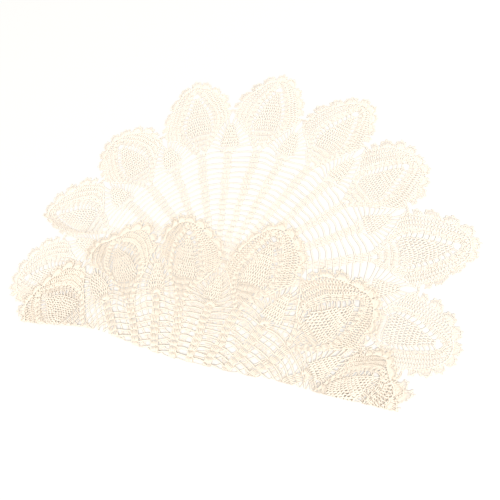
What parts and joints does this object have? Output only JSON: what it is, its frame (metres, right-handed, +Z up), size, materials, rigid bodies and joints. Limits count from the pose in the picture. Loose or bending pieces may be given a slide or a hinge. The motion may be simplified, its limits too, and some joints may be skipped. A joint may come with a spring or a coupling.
{
  "type": "crochet tablecloth",
  "caption": "Round scalloped tablecloth crocheted in pineapple lace, lying folded over once along a chord; covers and decorates a table top.",
  "frame": {"origin": "middle of the crochet, on the underside of the lower layer, where the cloth rests", "axes": "+Z up from the table; X along the fold; +Y from the fold towards the back petals"},
  "size_m": [0.7849, 0.5577, 0.008],
  "materials": {
    "cotton": "matt cream crochet cotton"
  },
  "bodies": {
    "root": {"tablecloth": "cotton"}
  },
  "joints": []
}
